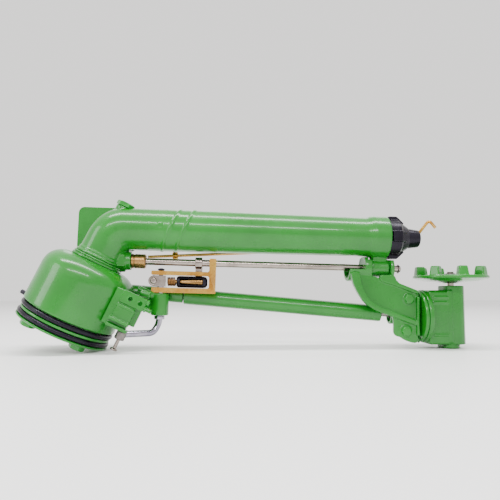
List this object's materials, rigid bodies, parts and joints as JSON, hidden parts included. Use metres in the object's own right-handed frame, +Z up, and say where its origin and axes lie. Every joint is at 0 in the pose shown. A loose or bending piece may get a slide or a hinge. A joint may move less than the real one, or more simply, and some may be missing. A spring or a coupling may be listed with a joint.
{
  "type": "turbine rain gun sprinkler",
  "caption": "Long-barrel rain gun lying on its flange: turning base, tapered nozzle, spoked turbine on a swinging gearbox arm, drive tube, reversing crank and stop rings.",
  "frame": {"origin": "middle of the bounding box on the floor that the lying sprinkler rests on", "axes": "+X towards the nozzle, +Z up from the floor as it lies, +Y to the side with the jet breaker rod; in use the base axis, 25.5 degrees from +Z, stands upright"},
  "size_m": [0.685, 0.143, 0.2128],
  "materials": {
    "green_enamel": "glossy green enamel over cast aluminium",
    "stainless": "brushed stainless steel",
    "chrome": "bright chrome plate",
    "yellow_zinc": "yellow passivated zinc on steel",
    "brass": "machined brass",
    "black_plastic": "glossy black plastic and black-plated wire",
    "rubber": "matt black rubber",
    "steel": "plain machined steel",
    "bronze": "oiled bronze"
  },
  "bodies": {
    "base": {"base_flange": "green_enamel", "base_bolt_1": "green_enamel", "base_bolt_2": "green_enamel", "base_bolt_3": "green_enamel", "base_bolt_4": "green_enamel", "inlet_spindle": "stainless", "thrust_bearing": "steel", "ring_gear": "steel"},
    "upper_stop_ring": {"sector_ring_upper": "black_plastic"},
    "lower_stop_ring": {"sector_ring_lower": "black_plastic"},
    "gun": {"base_housing": "green_enamel", "spindle_bushing": "bronze", "spindle_seal": "rubber", "neck_ring": "green_enamel", "barrel_body": "green_enamel", "gauge_plug": "green_enamel", "rear_plate": "green_enamel", "plate_bolt_front": "green_enamel", "plate_bolt_rear": "green_enamel", "rear_bush": "brass", "front_bush": "bronze", "nozzle_gasket": "rubber", "nozzle": "black_plastic", "nozzle_nut": "black_plastic", "trip_bracket": "green_enamel", "toggle_frame": "yellow_zinc", "breaker_clip_front": "yellow_zinc", "breaker_clip_rear": "yellow_zinc"},
    "pinion": {"final_pinion": "steel"},
    "crank": {"crank_rod": "chrome", "trip_hub": "steel", "trip_pin": "stainless", "crank_arm": "stainless", "crank_arm_bolt": "stainless", "crank_top_pin": "black_plastic"},
    "toggle": {"toggle_sleeve": "black_plastic", "toggle_plunger": "brass", "toggle_spring": "bronze"},
    "arm": {"swing_shaft": "stainless", "shaft_circlip": "steel", "shaft_lever": "stainless", "swing_arm": "green_enamel", "arm_bolt_1": "green_enamel", "arm_bolt_2": "green_enamel", "gearbox_housing": "green_enamel", "gearbox_cover": "green_enamel", "cover_screw_1": "green_enamel", "cover_screw_2": "green_enamel", "cover_screw_3": "green_enamel", "cover_screw_4": "green_enamel", "spindle_bearing": "steel"},
    "turbine": {"turbine_wheel": "green_enamel", "wheel_spindle": "stainless", "wheel_nut": "steel"},
    "crown": {"crown_wheel": "steel", "output_cup": "green_enamel"},
    "guard_tube": {"drive_tube": "green_enamel"},
    "tube_shaft": {"drive_core": "steel"},
    "input": {"input_shaft": "green_enamel"},
    "breaker": {"jet_breaker_rod": "yellow_zinc"}
  },
  "joints": [
    {"name": "gun_rotation", "type": "hinge", "parent": "base", "child": "gun", "pos_m": [-0.20237, -0.00553, 0.17087], "axis": [0.4305, 0, 0.9026], "range_deg": [-135, 135]},
    {"name": "upper_stop_slide", "type": "hinge", "parent": "base", "child": "upper_stop_ring", "pos_m": [-0.2626, -0.00553, 0.0446], "axis": [0.4305, 0, 0.9026], "range_deg": [0, 120]},
    {"name": "lower_stop_slide", "type": "hinge", "parent": "base", "child": "lower_stop_ring", "pos_m": [-0.26764, -0.00553, 0.03404], "axis": [0.4305, 0, 0.9026], "range_deg": [-120, 0]},
    {"name": "pinion_spin", "type": "hinge", "parent": "gun", "child": "pinion", "pos_m": [-0.21706, 0.01879, 0.03384], "axis": [0.4305, 0, 0.9026], "range_deg": [-600, 600]},
    {"name": "crank_swing", "type": "hinge", "parent": "gun", "child": "crank", "pos_m": [-0.13612, -0.00553, 0.0651], "axis": [0.0262, 0, 0.9997], "range_deg": [-8.2, 8.2]},
    {"name": "toggle_swing", "type": "hinge", "parent": "gun", "child": "toggle", "pos_m": [-0.13531, -0.00553, 0.09609], "axis": [0.0262, 0, 0.9997], "range_deg": [-7.2, 7.2]},
    {"name": "arm_swing", "type": "hinge", "parent": "gun", "child": "arm", "pos_m": [-0.00363, -0.00553, 0.12015], "axis": [0.9997, 0, -0.0262], "range_deg": [-15, 15]},
    {"name": "wheel_spin", "type": "hinge", "parent": "arm", "child": "turbine", "pos_m": [0.28953, -0.00553, 0.07595], "axis": [0, 0, 1], "continuous": true},
    {"name": "crown_spin", "type": "hinge", "parent": "arm", "child": "crown", "pos_m": [0.24953, -0.00553, 0.04595], "axis": [1, 0, 0], "continuous": true},
    {"name": "tube_yaw", "type": "hinge", "parent": "gun", "child": "guard_tube", "pos_m": [-0.11284, 0.01847, 0.07549], "axis": [0.0262, 0, 0.9997], "range_deg": [-3.3, 3.3]},
    {"name": "tube_shaft_spin", "type": "hinge", "parent": "guard_tube", "child": "tube_shaft", "pos_m": [-0.11284, 0.01847, 0.07549], "axis": [0.9933, -0.0766, -0.0866], "continuous": true},
    {"name": "input_spin", "type": "hinge", "parent": "gun", "child": "input", "pos_m": [-0.11284, 0.01847, 0.07549], "axis": [0.9967, 0, -0.0807], "continuous": true},
    {"name": "breaker_swing", "type": "hinge", "parent": "gun", "child": "breaker", "pos_m": [-0.05751, 0.02447, 0.13737], "axis": [0.9984, 0.03, 0.0469], "range_deg": [-15, 20]}
  ],
  "couplings": [
    {"joint": "pinion_spin", "follows": "gun_rotation", "ratio": 4.4},
    {"joint": "crank_swing", "follows": "arm_swing", "ratio": -0.53},
    {"joint": "toggle_swing", "follows": "arm_swing", "ratio": 0.47},
    {"joint": "tube_yaw", "follows": "arm_swing", "ratio": 0.2133},
    {"joint": "crown_spin", "follows": "wheel_spin", "ratio": 0.5},
    {"joint": "tube_shaft_spin", "follows": "wheel_spin", "ratio": 0.5},
    {"joint": "input_spin", "follows": "wheel_spin", "ratio": 0.5}
  ]
}
